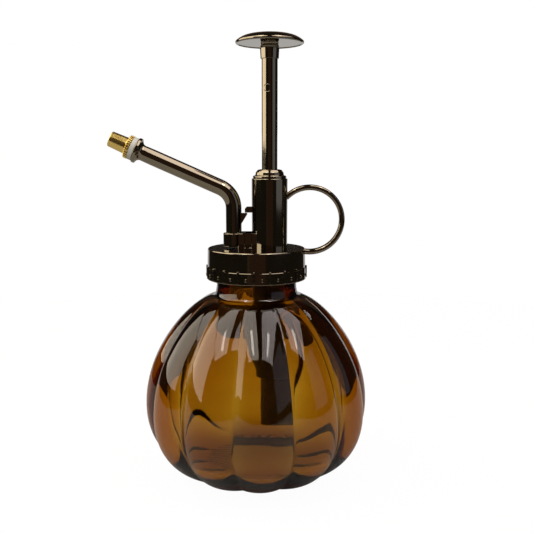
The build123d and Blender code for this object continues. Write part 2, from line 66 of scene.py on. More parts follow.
def add_node(tree, kind, links=(), **settings):
    """One node: settings are its attributes, and sockets={socket: value} sets its inputs."""
    node = tree.nodes.new(kind)
    for socket, value in settings.pop("sockets", {}).items():
        node.inputs[socket].default_value = value
    for name, value in settings.items():
        setattr(node, name, value)
    for source, socket in links:
        tree.links.new(source, node.inputs[socket])
    return node


def linear(hex_colour):
    """sRGB hex, such as "c8a24b", to the linear colour that the shaders take."""
    parts = [int(hex_colour[i:i + 2], 16) / 255 for i in (0, 2, 4)]
    return tuple(c / 12.92 if c <= 0.04045 else ((c + 0.055) / 1.055) ** 2.4 for c in parts) + (1.0,)


world = bpy.data.worlds.new("white sweep and dark room")
scene.world = world
world.use_nodes = True
sky = world.node_tree
sky.nodes.clear()
ray = add_node(sky, "ShaderNodeLightPath")
sweep = add_node(sky, "ShaderNodeBackground", sockets={"Color": linear("ffffff"), "Strength": 1.0})
room = add_node(sky, "ShaderNodeBackground", sockets={"Color": linear("6e6458"), "Strength": 0.16})
either = add_node(sky, "ShaderNodeMixShader", [(ray.outputs["Is Glossy Ray"], 0),
                                               (sweep.outputs[0], 1), (room.outputs[0], 2)])
add_node(sky, "ShaderNodeOutputWorld", [(either.outputs[0], "Surface")])

# The table's white glows for the camera, and less for what is seen through the glass. Its
# reflections show the grey paint, lit by the softboxes.
table_radius, table_gap = 0.45, 0.0002
glow, glow_to_camera, glow_through_glass = 1.045, 0.93, 0.32
bpy.ops.mesh.primitive_circle_add(vertices=96, radius=table_radius, fill_type="NGON",
                                  location=(0, 0, -table_gap))
table = bpy.context.object
table.name = "table_top"
table_finish = bpy.data.materials.new("lit white acrylic table")
table_finish.use_nodes = True
tree = table_finish.node_tree
paint = tree.nodes["Principled BSDF"]
paint.inputs["Base Color"].default_value = linear("7c7b79")
paint.inputs["Roughness"].default_value = 0.8
lit = add_node(tree, "ShaderNodeEmission", sockets={"Color": linear("ffffff"), "Strength": glow})
ray = add_node(tree, "ShaderNodeLightPath")
glass_share = add_node(tree, "ShaderNodeMath", [(ray.outputs["Is Transmission Ray"], 0)],
                       operation="MULTIPLY", sockets={1: glow_through_glass})
share = add_node(tree, "ShaderNodeMath", [(ray.outputs["Is Camera Ray"], 0), (glass_share.outputs[0], 2)],
                 operation="MULTIPLY_ADD", sockets={1: glow_to_camera})
surface = add_node(tree, "ShaderNodeMixShader", [(share.outputs[0], 0), (paint.outputs[0], 1),
                                                 (lit.outputs[0], 2)])
tree.links.new(surface.outputs[0], tree.nodes["Material Output"].inputs["Surface"])
table.data.materials.append(table_finish)


def softbox(name, place, aim, size, radiance, colour):
    """Rectangular light at place, facing aim, with the same brightness whatever its size."""
    lamp = bpy.data.lights.new(name, "AREA")
    lamp.shape = "RECTANGLE"
    lamp.size, lamp.size_y = size
    lamp.energy = radiance * pi * size[0] * size[1]
    lamp.color = linear(colour)[:3]
    holder = bpy.data.objects.new(name, lamp)
    scene.collection.objects.link(holder)
    holder.location = place
    holder.rotation_euler = (Vector(aim) - Vector(place)).to_track_quat("-Z", "Y").to_euler()
    holder.visible_camera = False
    holder.visible_transmission = False


softbox("softbox_over_left", (-0.36, -0.22, 0.80), (-0.36, -0.20, 0), (0.56, 0.90), 3.4, "fff4e4")
softbox("softbox_over_right", (0.36, -0.22, 0.80), (0.36, -0.20, 0), (0.56, 0.90), 3.0, "fff2ee")
softbox("window_left", (-0.90, 0.02, 0.62), (0, 0.02, 0.62), (1.20, 0.92), 3.2, "fff1da")
softbox("board_right", (0.85, -0.40, 0.45), (0, 0, 0.45), (0.75, 0.80), 0.35, "e8ecff")
softbox("lamp_left", (-0.30, -0.40, 0.79), (-0.30, -0.40, 0), (0.09, 0.34), 8.0, "fff6ea")
softbox("lamp_right", (0.32, -0.40, 0.79), (0.32, -0.40, 0), (0.09, 0.34), 8.0, "fff6ea")
softbox("card_behind", (0, 1.30, -0.02), (0, 0, -0.02), (1.80, 0.44), 0.65, "ffffff")
softbox("warm_wall", (0.10, -1.60, 0.45), (0.10, 0, 0.45), (1.10, 1.20), 0.07, "c07a58")
softbox("brown_board", (0, 1.30, 0.85), (0, 0, 0.85), (1.80, 0.80), 0.22, "a07c5c")
softbox("wooden_shelf", (-0.42, -1.60, 0.35), (-0.42, 0, 0.35), (0.30, 1.00), 0.16, "a08870")

# The camera stands 0.31 m in front of the bottle, at the height of the spout's bend, and
# looks slightly down.
camera_data = bpy.data.cameras.new("camera")
camera_data.sensor_width = 36
camera_data.lens = 47.96
camera = bpy.data.objects.new("camera", camera_data)
scene.collection.objects.link(camera)
camera.location = (0.00445, -0.311, 0.1395)
camera.rotation_euler = (radians(90 - 8.5), 0, 0)
scene.camera = camera

# ---------------------------------------------------------------------------
# Bottle: amber soda-lime glass, blown into a mould of twelve lobes, with a
# pushed-up foot, a ribbed standing ring and a thick floor. Clear and glossy,
# darker where the wall is thick, with the faint waves of a moulded skin.
# ---------------------------------------------------------------------------
mm = 0.001


def reach(node):
    """Lowest and highest corner of a node's box, in mm."""
    low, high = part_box(node)
    return Vector(low) / mm, Vector(high) / mm


def rounded(outline):
    """Outline of (r, z) points in mm; a third value is the radius its corner is rounded to."""
    done = []
    for k, point in enumerate(outline):
        here = Vector(point[:2])
        if len(point) < 3:
            done.append(tuple(here))
            continue
        back = Vector(outline[k - 1][:2]) - here
        on = Vector(outline[(k + 1) % len(outline)][:2]) - here
        half = back.angle(on) / 2
        cut = min(point[2] / tan(half), back.length * 0.49, on.length * 0.49)
        centre = here + (back.normalized() + on.normalized()).normalized() * cut / cos(half)
        first = here + back.normalized() * cut - centre
        last = here + on.normalized() * cut - centre
        start = atan2(first.y, first.x)
        turn = (atan2(last.y, last.x) - start + pi) % tau - pi
        steps = max(2, round(abs(turn) / radians(12)))
        for s in range(steps + 1):
            a = start + turn * s / steps
            done.append(tuple(centre + Vector((cos(a), sin(a))) * first.length))
    return done


def draw_outline(name, points, closed=False):
    """A new piece that is one chain of edges through the points, in metres."""
    bpy.ops.mesh.primitive_plane_add(size=mm)
    piece = bpy.context.object
    piece.name = piece.data.name = name
    bpy.ops.object.mode_set(mode="EDIT")
    bpy.ops.mesh.select_all(action="SELECT")
    bpy.ops.mesh.merge(type="CENTER")
    bpy.ops.transform.translate(value=points[0])
    for last, point in zip(points, points[1:]):
        bpy.ops.mesh.extrude_vertices_move(TRANSFORM_OT_translate={"value": point - last})
    bpy.ops.object.mode_set(mode="OBJECT")
    if closed:
        for v in piece.data.vertices:
            v.select = v.index in (0, len(points) - 1)
        bpy.ops.object.mode_set(mode="EDIT")
        bpy.ops.mesh.edge_face_add()
        bpy.ops.object.mode_set(mode="OBJECT")
    return piece


def settle(piece, angle=35):
    """Smooth shading up to this angle, with the large faces deciding the normals."""
    bpy.ops.object.select_all(action="DESELECT")
    piece.select_set(True)
    bpy.context.view_layer.objects.active = piece
    if piece.data.has_custom_normals:
        bpy.ops.mesh.customdata_custom_splitnormals_clear()
    bpy.ops.object.shade_smooth_by_angle(angle=radians(angle))
    even = piece.modifiers.new("even", "WEIGHTED_NORMAL")
    even.keep_sharp = True
    bpy.ops.object.modifier_apply(modifier=even.name)


def turn_up(name, outline, steps=96, seat=Matrix.Identity(4), closed=False):
    """A turned piece: the outline spun about the seat's Z axis."""
    piece = draw_outline(name, [Vector((r * mm, 0, z * mm)) for r, z in rounded(outline)], closed)
    bpy.ops.object.mode_set(mode="EDIT")
    bpy.ops.mesh.select_all(action="SELECT")
    bpy.ops.mesh.spin(steps=steps, angle=tau, center=(0, 0, 0), axis=(0, 0, 1))
    bpy.ops.mesh.select_all(action="SELECT")
    bpy.ops.mesh.remove_doubles(threshold=0.002 * mm)
    bpy.ops.mesh.normals_make_consistent(inside=False)
    bpy.ops.object.mode_set(mode="OBJECT")
    piece.data.transform(seat)
    settle(piece)
    return piece


def bezier(corners, steps):
    """Points along a cubic curve, its two ends included."""
    made = []
    for k in range(steps + 1):
        t = k / steps
        w = ((1 - t) ** 3, 3 * (1 - t) ** 2 * t, 3 * (1 - t) * t ** 2, t ** 3)
        made.append(tuple(sum(wi * c[i] for wi, c in zip(w, corners)) for i in (0, 1)))
    return made


bottle_high = reach("bottle")[1]
belly_r, belly_z, neck_r, shoulder_z = bottle_high.x - 0.12, 31.3, 17.6, 80.5
mouth_z, neck_bore_r, foot_r = bottle_high.z, 14.75, 25.0
lobe_count, lobe_depth, front_lobe, crease_round = 12, 3.3, radians(-85.7), radians(0.7)
columns_per_lobe, column_crowding = 24, 1.7
ring_in_r, ring_in_slope, ring_out_r, ring_out_slope, foot_ridges, ridge_h = 20.4, 1.2, 26.8, 1.4, 72, 0.5
cavity_r, neck_foot_bore_r = 45.2, 13.2
thread_crest_r, thread_foot_z, thread_turns, thread_half_w, pitch = 18.7, 90.6, 1.4, 1.0, 25.4 / 6


def press_lobes(piece, depth_at, rounding):
    """Moves each vertex of a turned skin onto twelve round lobes that meet in rounded creases."""
    half = pi / lobe_count
    for v in piece.data.vertices:
        r, z = Vector(v.co[:2]).length / mm, v.co.z / mm
        depth = depth_at(r, z)
        if depth < 0.02:
            continue
        around = atan2(v.co.y, v.co.x) - front_lobe
        lobe = round(around / (2 * half))
        off = around - lobe * 2 * half
        # the columns stand closer towards the crease, so that its small radius is well drawn
        near = 1 - abs(off) / half
        off = half * (1 - near ** column_crowding) * (1 if off > 0 else -1)
        bulge = half - half * ((sqrt((half - abs(off)) ** 2 + rounding ** 2) - rounding)
                               / (sqrt(half ** 2 + rounding ** 2) - rounding))
        chord, sag = (r - depth) * sin(half), r - (r - depth) * cos(half)
        arc_r = (chord ** 2 + sag ** 2) / (2 * sag)
        centre = r - arc_r
        new_r = centre * cos(bulge) + sqrt(arc_r ** 2 - (centre * sin(bulge)) ** 2)
        a = front_lobe + lobe * 2 * half + off
        v.co.x, v.co.y = new_r * cos(a) * mm, new_r * sin(a) * mm


def outer_depth(r, z):
    """Depth of the outer creases, which fade out at the neck's foot and at the standing ring."""
    if z > shoulder_z:
        return 0
    if z > belly_z:
        return lobe_depth * max((r - neck_r - 1) / (belly_r - neck_r - 1), 0) ** 0.75
    return lobe_depth * max((r - foot_r) / (belly_r - foot_r), 0) ** 0.4


def inner_depth(r, z):
    """Depth of the cavity's shallower creases."""
    return 0 if z > 77 or r < 22 else 1.3 * min(1, (r - 22) / 14)


columns = lobe_count * columns_per_lobe
outside = [(0, 3.2), (8.0, 3.1), (14.0, 2.5), (18.5, 1.1), (20.6, 0.25), (21.8, 0), (23.0, 0), (24.2, 0)]
outside += bezier(((foot_r, 0.05), (29.7, 0.05), (belly_r, 7.5), (belly_r, belly_z)), 30)
outside += bezier(((belly_r, belly_z), (belly_r, 58.9), (27.3, shoulder_z - 0.7),
                   (neck_r + 2.6, shoulder_z - 0.3)), 38)[1:]
outside += bezier(((neck_r + 2.6, shoulder_z - 0.3), (neck_r + 0.9, shoulder_z - 0.2),
                   (neck_r + 0.2, shoulder_z + 1.2), (neck_r, shoulder_z + 5.0)), 10)[1:]
outside += [(neck_r, thread_foot_z - 1.2 + 0.3 * k) for k in range(25)]
outside += [(neck_r, mouth_z - 0.7, 0.3), (neck_r - 0.7, mouth_z, 0.3), (neck_r - 1.5, mouth_z)]
inside = [(0, 7.5), (10, 7.4), (20.0, 6.6)]
inside += bezier(((20.0, 6.6), (36.0, 5.5), (cavity_r, 14.0), (cavity_r, belly_z)), 20)[1:]
inside += bezier(((cavity_r, belly_z), (cavity_r, 56.0), (25.0, 75.6), (14.6, 77.6)), 26)[1:]
inside += [(neck_foot_bore_r + 0.2, 79.6), (neck_foot_bore_r, 82), (neck_foot_bore_r, 85), (neck_bore_r, 89),
           (neck_bore_r, mouth_z - 0.5), (neck_bore_r + 0.5, mouth_z)]

skin = turn_up("bottle_glass", outside, columns)
press_lobes(skin, outer_depth, crease_round)
for v in skin.data.vertices:
    r, z, a = Vector(v.co[:2]).length / mm, v.co.z / mm, atan2(v.co.y, v.co.x)
    if z < 1.0:
        # milled standing ring, its ridges no lower than the foot
        band = max(0, min(1, (r - ring_in_r) / ring_in_slope, (ring_out_r - r) / ring_out_slope))
        v.co.z += ridge_h * band * (0.5 - 0.5 * cos(foot_ridges * a)) * mm
    if abs(r - neck_r) < 0.01:
        # round-topped right-hand screw ridge
        for turn in range(2):
            along = turn + a / tau % 1
            off = abs(z - thread_foot_z - along * pitch) / thread_half_w
            if along < thread_turns and off < 1:
                rise = min(1, along / 0.08, (thread_turns - along) / 0.08) * (0.5 + 0.5 * cos(pi * off))
                grow = 1 + rise * (thread_crest_r - neck_r) / neck_r
                v.co.x, v.co.y = v.co.x * grow, v.co.y * grow
hollow = turn_up("bottle_hollow", inside, columns)
press_lobes(hollow, inner_depth, radians(3.0))


def join_shells(name, shells):
    """Makes shells that share one finish into one piece."""
    bpy.ops.object.select_all(action="DESELECT")
    for shell in shells:
        shell.select_set(True)
    bpy.context.view_layer.objects.active = shells[0]
    bpy.ops.object.join()
    piece = bpy.context.object
    piece.name = piece.data.name = name
    return piece


bottle_glass = join_shells("bottle_glass", [skin, hollow])
bpy.ops.object.mode_set(mode="EDIT")
bpy.ops.mesh.select_mode(type="EDGE")
bpy.ops.mesh.select_all(action="DESELECT")
bpy.ops.mesh.select_non_manifold(extend=False)
bpy.ops.mesh.bridge_edge_loops()
bpy.ops.mesh.select_all(action="SELECT")
bpy.ops.mesh.normals_make_consistent(inside=False)
bpy.ops.mesh.select_mode(type="VERT")
bpy.ops.object.mode_set(mode="OBJECT")
bpy.ops.mesh.customdata_custom_splitnormals_clear()
bpy.ops.object.shade_smooth_by_angle(angle=radians(50))
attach(bottle_glass, "bottle")
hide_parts("bottle")


def new_finish(name, **sockets):
    """A new material, its node tree and its Principled shader, with these values on its sockets."""
    material = bpy.data.materials.new(name)
    material.use_nodes = True
    shader = material.node_tree.nodes["Principled BSDF"]
    for socket, value in sockets.items():
        shader.inputs[socket.replace("_", " ")].default_value = value
    return material, material.node_tree, shader


def dress(piece, material):
    """Gives a piece or a CAD node this one finish."""
    if not piece.material_slots:
        piece.data.materials.append(material)
    for holder in piece.material_slots:
        holder.material = material


# The glass takes nearly all of the blue and much of the green on the way through. Its
# moulded skin has waves about 18 mm long, too shallow to feel.
amber, tree, shader = new_finish("amber bottle glass, mould-blown", Roughness=0.012, IOR=1.5,
                                 Transmission_Weight=1.0)
shader.inputs["Base Color"].default_value = (1, 1, 1, 1)
place = add_node(tree, "ShaderNodeTexCoord")
waves = add_node(tree, "ShaderNodeTexNoise", [(place.outputs["Object"], "Vector")],
                 sockets={"Scale": 55.0, "Detail": 1.5, "Roughness": 0.4})
skin_bump = add_node(tree, "ShaderNodeBump", [(waves.outputs["Fac"], "Height")],
                     sockets={"Strength": 0.25, "Distance": 0.001})
tree.links.new(skin_bump.outputs["Normal"], shader.inputs["Normal"])
absorb = add_node(tree, "ShaderNodeVolumeAbsorption",
                  sockets={"Color": (0.856, 0.70, 0.02, 1.0), "Density": 700.0})
tree.links.new(absorb.outputs["Volume"], tree.nodes["Material Output"].inputs["Volume"])
dress(bottle_glass, amber)

# ---------------------------------------------------------------------------
# Cap gasket: black nitrile rubber ring, cut from sheet. It lies loose in the cap, on the
# bottle's mouth, and is squeezed when the cap is screwed down. Dull, with a fine tooth.
# ---------------------------------------------------------------------------
rubber, tree, shader = new_finish("black nitrile rubber, cut from sheet", Roughness=0.6, IOR=1.52)


def mottle(tree, shader, dark, light, grain_mm, rough=None, bump_mm=0):
    """Cloudy colour of this grain size, and with it the roughness and the bump that go along."""
    place = add_node(tree, "ShaderNodeTexCoord")
    cloud = add_node(tree, "ShaderNodeTexNoise", [(place.outputs["Object"], "Vector")],
                     sockets={"Scale": 1 / (grain_mm * mm), "Detail": 3.0})
    tone = add_node(tree, "ShaderNodeMix", [(cloud.outputs["Fac"], 0)], data_type="RGBA",
                    sockets={6: linear(dark), 7: linear(light)})
    tree.links.new(tone.outputs[2], shader.inputs["Base Color"])
    if rough:
        gloss = add_node(tree, "ShaderNodeMapRange", [(cloud.outputs["Fac"], "Value")],
                         sockets={"To Min": rough[0], "To Max": rough[1]})
        tree.links.new(gloss.outputs["Result"], shader.inputs["Roughness"])
    if bump_mm:
        bump = add_node(tree, "ShaderNodeBump", [(cloud.outputs["Fac"], "Height")],
                        sockets={"Strength": 1.0, "Distance": bump_mm * mm})
        tree.links.new(bump.outputs["Normal"], shader.inputs["Normal"])


mottle(tree, shader, "17171a", "232326", 0.4, (0.5, 0.7), 0.01)
for node in ("cap_gasket", "gland_seal", "piston_cup", "spout_seal"):
    dress(node_objects[node], rubber)

# ---------------------------------------------------------------------------
# Pump head: one moulding of ABS in a dark bronze vacuum plating. Screw cap with twenty
# grip ribs, deck, pump barrel, spout socket, the block between them and the spout's catch.
# Mirror gloss: near black where it meets a dark room, warm cream where it meets light.
# ---------------------------------------------------------------------------
head_high = reach("pump_head")[1]
rod_low, rod_high = reach("plunger_rod")
barrel_x, rod_r = (rod_low.x + rod_high.x) / 2, (rod_high.x - rod_low.x) / 2
deck_z, deck_t, cap_foot_z, cap_bore_r = 101.5, 1.8, 88.0, 20.4
cap_r, skirt_r, skirt_z, cap_edge_r = 21.4, 22.0, 92.0, 0.9
rib_count, rib_start, rib_r, rib_top_z, stud_length = 20, radians(16), 0.42, 93.8, 1.3
barrel_r, barrel_bore_r, barrel_top_z = 7.85, 6.6, head_high.z
socket_x, socket_r, socket_top_z, spout_r, seal_foot_z = -9.9, 4.65, 108.0, 3.45, 102.5
block_x, block_half_w, block_top_z = (-7.9, 1.2), 5.5, 108.2
pocket_x, pocket_half_w, pocket_floor_z, slot_back_y = (-5.0, -2.1), 3.9, 105.6, -4.3
catch_x, catch_foot_z, catch_top_z, catch_half_w = -5.0, 117.0, 119.5, 2.0


def at(x, y=0, z=0):
    """Seat at this place, in mm, its axis upright."""
    return Matrix.Translation(Vector((x, y, z)) * mm)


def eased_block(name, low, high, radius):
    """Block between two corners in mm, its edges rounded."""
    low, high = Vector(low) * mm, Vector(high) * mm
    bpy.ops.mesh.primitive_cube_add(size=1)
    piece = bpy.context.object
    piece.name = piece.data.name = name
    bpy.ops.object.mode_set(mode="EDIT")
    bpy.ops.transform.resize(value=high - low)
    bpy.ops.transform.translate(value=(low + high) / 2)
    bpy.ops.mesh.bevel(offset=radius * mm, segments=3, affect="EDGES")
    bpy.ops.object.mode_set(mode="OBJECT")
    settle(piece)
    return piece


def prism(name, outline, half_w, edge):
    """Outline of (x, z) points in mm, as thick as its width and eased along its edges."""
    piece = draw_outline(name, [Vector((x, -half_w, z)) * mm for x, z in outline], closed=True)
    bpy.ops.object.mode_set(mode="EDIT")
    bpy.ops.mesh.select_all(action="SELECT")
    bpy.ops.mesh.edge_face_add()
    bpy.ops.mesh.extrude_region_move(TRANSFORM_OT_translate={"value": (0, 2 * half_w * mm, 0)})
    bpy.ops.mesh.select_all(action="SELECT")
    bpy.ops.mesh.normals_make_consistent(inside=False)
    bpy.ops.mesh.bevel(offset=edge * mm, segments=2, affect="EDGES")
    bpy.ops.object.mode_set(mode="OBJECT")
    settle(piece)
    return piece


def cut_away(piece, cutter):
    """Takes the cutter's space out of the piece, and the cutter with it."""
    bpy.context.view_layer.objects.active = piece
    cut = piece.modifiers.new("cut", "BOOLEAN")
    cut.operation, cut.solver, cut.object = "DIFFERENCE", "EXACT", cutter
    bpy.ops.object.modifier_apply(modifier=cut.name)
    bpy.data.objects.remove(cutter)
    settle(piece)


def drill(piece, x, r, low, high, steps=64):
    """Takes an upright round hole of radius r out of the piece, in mm."""
    cut_away(piece, turn_up("bore", [(0, low), (r, low), (r, high), (0, high)], steps, at(x)))


cap = turn_up("cap_shell", [
    (0, deck_z), (cap_r - 1.2, deck_z), (cap_r, deck_z, cap_edge_r), (cap_r + 0.2, skirt_z + 1.1),
    (skirt_r - 0.22, skirt_z + 0.95), (skirt_r - 0.1, cap_foot_z, 0.35),
    (cap_bore_r, cap_foot_z, 0.15), (cap_bore_r, deck_z - deck_t), (0, deck_z - deck_t)], 160)
drill(cap, barrel_x, barrel_bore_r + 0.05, 90, 110)
shells = [cap]
rib_length = rib_top_z - cap_foot_z - 0.5
for k in range(rib_count):
    for half_step, foot, length, r in ((0, cap_foot_z + 0.5, rib_length, rib_r),
                                       (0.5, cap_foot_z + 1.5, stud_length, rib_r)):
        a = rib_start + tau * (k + half_step) / rib_count
        shells.append(turn_up("rib", [(0, 0), (r, 0, r * 0.95), (r, length, r * 0.95), (0, length)], 12,
                              at((skirt_r - 0.12) * cos(a), (skirt_r - 0.12) * sin(a), foot)))
shells.append(turn_up("barrel", [
    (barrel_bore_r, deck_z - deck_t), (barrel_r - 0.1, deck_z - deck_t), (barrel_r - 0.1, deck_z + 0.2),
    (barrel_r - 0.02, 125.0), (barrel_r, barrel_top_z, 0.35), (barrel_bore_r, barrel_top_z)],
    96, at(barrel_x), closed=True))
shells.append(turn_up("socket", [
    (spout_r + 0.02, seal_foot_z - 0.2), (socket_r, seal_foot_z - 0.2), (socket_r, socket_top_z, 0.3),
    (spout_r + 0.02, socket_top_z, 0.12)], 80, at(socket_x), closed=True))
block = eased_block("block", (block_x[0], -block_half_w, deck_z - 1),
                    (block_x[1], block_half_w, block_top_z), 0.3)
cut_away(block, eased_block("pocket", (pocket_x[0], -pocket_half_w, pocket_floor_z),
                            (pocket_x[1], pocket_half_w, block_top_z + 3), 0.4))
cut_away(block, eased_block("slot", (pocket_x[0] - 0.2, -block_half_w - 2, deck_z + 0.3),
                            (pocket_x[1] + 0.2, slot_back_y, block_top_z + 3), 0.2))
drill(block, barrel_x, barrel_bore_r + 0.1, 90, 120)
drill(block, socket_x, spout_r + 0.1, 90, 120)
barrel_left = barrel_x - barrel_r
shells += [block, prism("catch", [(barrel_left + 0.6, catch_foot_z), (catch_x, catch_foot_z),
                                  (catch_x, catch_top_z - 0.8), (catch_x + 0.8, catch_top_z),
                                  (barrel_left + 0.6, catch_top_z)], catch_half_w, 0.18)]
pump_body = join_shells("pump_body", shells)
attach(pump_body, "head")
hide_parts("pump_head")

bronze, tree, shader = new_finish("dark bronze vacuum plating on moulded ABS", Metallic=1.0)
mottle(tree, shader, "7c7565", "887f6e", 9.0, (0.06, 0.09))
dress(pump_body, bronze)

# ---------------------------------------------------------------------------
# Thread liner, valve housing, pump cylinder, ball cage and outlet stop: plain mouldings of
# black polypropylene, pressed and clicked into the head. Satin, with a faint moulded grain.
# ---------------------------------------------------------------------------
housing_low, housing_high = reach("valve_housing")
tube_low, tube_high = reach("dip_tube")
housing_r, housing_rim_r, housing_rim_z = 7.3, 8.5, 97.8
housing_floor_z, inlet_hole_r, seat_r = 54.0, 1.3, 2.3
tube_r, tube_bore_r = (tube_high.x - tube_low.x) / 2, 2.4

black_plastic, tree, shader = new_finish("black polypropylene, moulded", Roughness=0.35, IOR=1.49)
mottle(tree, shader, "1c1712", "2a221a", 1.5, (0.3, 0.42), 0.004)
housing = turn_up("pump_housing", [
    (tube_r, housing_low.z), (tube_r + 1.4, housing_low.z, 0.3), (tube_r + 1.8, housing_low.z + 3.5, 0.8),
    (housing_r, housing_low.z + 10.0, 1.5),
    (housing_r, housing_rim_z), (housing_rim_r, housing_rim_z, 0.2), (housing_rim_r, housing_high.z),
    (barrel_bore_r, housing_high.z), (barrel_bore_r, housing_floor_z), (seat_r, housing_floor_z),
    (inlet_hole_r, housing_floor_z - seat_r + inlet_hole_r), (inlet_hole_r, tube_high.z),
    (tube_r, tube_high.z)], 80, at(barrel_x), closed=True)
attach(housing, "head")
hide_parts("valve_housing")
dress(housing, black_plastic)
for node in ("thread_liner", "pump_cylinder", "ball_cage", "outlet_stop"):
    dress(node_objects[node], black_plastic)

# ---------------------------------------------------------------------------
# Dip tube: extruded polyethylene pipe, cut square and pushed into the
# housing's foot. Its dark brown is painted shade: the dimness the pipe shows inside the
# amber bottle, put into its colour in place of its own paler one. Glossy, its tone slightly uneven.
# ---------------------------------------------------------------------------
shade_painted, tree, shader = new_finish("smoked polyethylene, extruded", Roughness=0.25, IOR=1.51)
# the dark brown here is painted shade, the pipe's dimness inside the bottle, not its own colour
mottle(tree, shader, "241a12", "33261a", 3.0, (0.2, 0.3))
tube = turn_up("dip_tube_pipe", [
    (tube_bore_r, tube_low.z), (tube_r, tube_low.z, 0.25), (tube_r, tube_high.z),
    (tube_bore_r, tube_high.z)], 64, at(barrel_x), closed=True)
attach(tube, "head")
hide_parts("dip_tube")
dress(tube, shade_painted)

# ---------------------------------------------------------------------------
# Valve balls and return spring: ground stainless balls, and a coil of drawn stainless
# wire that lifts the plunger. Bright grey metal, the wire a little duller.
# ---------------------------------------------------------------------------
steel, tree, shader = new_finish("stainless steel, ground and drawn", Metallic=1.0)
mottle(tree, shader, "9d9b98", "b9b7b3", 0.8, (0.18, 0.3))
for node in ("inlet_ball", "outlet_ball"):
    dress(node_objects[node], steel)

spring_low, spring_high = reach("return_spring")
wire_r, coil_r, coils, plunger_travel = 0.35, 4.1, 12, 44.0
bpy.ops.mesh.primitive_circle_add(vertices=12, radius=wire_r * mm, rotation=(pi / 2, 0, 0),
                                  location=Vector((coil_r, 0, spring_low.z + wire_r)) * mm)
spring = bpy.context.object
spring.name = spring.data.name = "spring_coil"
bpy.ops.object.transform_apply(location=True, rotation=True)
wind = spring.modifiers.new("wind", "SCREW")
wind.screw_offset = (spring_high.z - spring_low.z - 2 * wire_r) / coils * mm
wind.iterations, wind.steps, wind.render_steps = coils, 28, 28
bpy.ops.object.modifier_apply(modifier=wind.name)
bpy.ops.object.mode_set(mode="EDIT")
bpy.ops.mesh.select_all(action="SELECT")
bpy.ops.mesh.fill_holes(sides=0)
bpy.ops.mesh.select_all(action="SELECT")
bpy.ops.mesh.normals_make_consistent(inside=False)
bpy.ops.object.mode_set(mode="OBJECT")
spring.data.transform(at(barrel_x))
settle(spring, 50)
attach(spring, "head")
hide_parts("return_spring")
dress(spring, steel)
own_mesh(spring)

# ---------------------------------------------------------------------------
# Piston: natural nylon, moulded, with the rubber cup in its groove. Greyish and satin.
# ---------------------------------------------------------------------------
nylon, tree, shader = new_finish("natural nylon, moulded", Roughness=0.4, IOR=1.53)
mottle(tree, shader, "8a8982", "9f9e96", 0.5, (0.35, 0.55), 0.015)
dress(node_objects["piston"], nylon)

# ---------------------------------------------------------------------------
# Gland nut: plated plug pressed into the barrel's top. Its stepped dome guides the rod.
# ---------------------------------------------------------------------------
gland_low, gland_high = reach("gland_nut")
seal_top_z, cylinder_bore_r, rod_run = 130.2, 5.0, 0.06
flange_z, flange_r = barrel_top_z, 7.3
gland = turn_up("gland_plug", [
    (rod_r + rod_run, seal_top_z), (cylinder_bore_r, seal_top_z), (cylinder_bore_r, gland_low.z),
    (barrel_bore_r - 0.02, gland_low.z), (barrel_bore_r - 0.02, flange_z), (flange_r, flange_z),
    (flange_r, flange_z + 1.1, 0.35), (6.25, flange_z + 1.45, 0.15), (6.05, flange_z + 2.6, 0.5),
    (5.2, flange_z + 3.75, 0.8), (rod_r + 0.6, gland_high.z, 0.4), (rod_r + rod_run, gland_high.z)],
    96, at(barrel_x), closed=True)
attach(gland, "head")
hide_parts("gland_nut")
dress(gland, bronze)

# ---------------------------------------------------------------------------
# Finger ring: plated hoop with flat sides and rounded corners, moulded from the barrel
# over the top and down to the cap's shoulder.
# ---------------------------------------------------------------------------
ring_low, ring_high = reach("finger_ring")
ring_thick, ring_half_w = 2.5, (ring_high.y - ring_low.y) / 2
ring_r = 14.1
ring_x, ring_z = ring_high.x - ring_r - ring_thick / 2, ring_high.z - ring_r - ring_thick / 2
ring_start, ring_sweep, corner_power, section_points = radians(-100), radians(237), 3.2, 40

section = []
for k in range(section_points):
    t = tau * k / section_points
    u = ring_thick / 2 * abs(cos(t)) ** (2 / corner_power) * (1 if cos(t) > 0 else -1)
    w = ring_half_w * abs(sin(t)) ** (2 / corner_power) * (1 if sin(t) > 0 else -1)
    out = ring_r + u
    section.append(Vector((ring_x + out * cos(ring_start), w, ring_z + out * sin(ring_start))) * mm)
hoop = draw_outline("finger_hoop", section, closed=True)
bpy.ops.object.mode_set(mode="EDIT")
bpy.ops.mesh.select_all(action="SELECT")
bpy.ops.mesh.spin(steps=120, angle=ring_sweep, center=Vector((ring_x, 0, ring_z)) * mm, axis=(0, 1, 0))
bpy.ops.mesh.select_all(action="SELECT")
bpy.ops.mesh.fill_holes(sides=0)
bpy.ops.mesh.normals_make_consistent(inside=False)
bpy.ops.object.mode_set(mode="OBJECT")
settle(hoop)
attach(hoop, "head")
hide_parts("finger_ring")
dress(hoop, bronze)

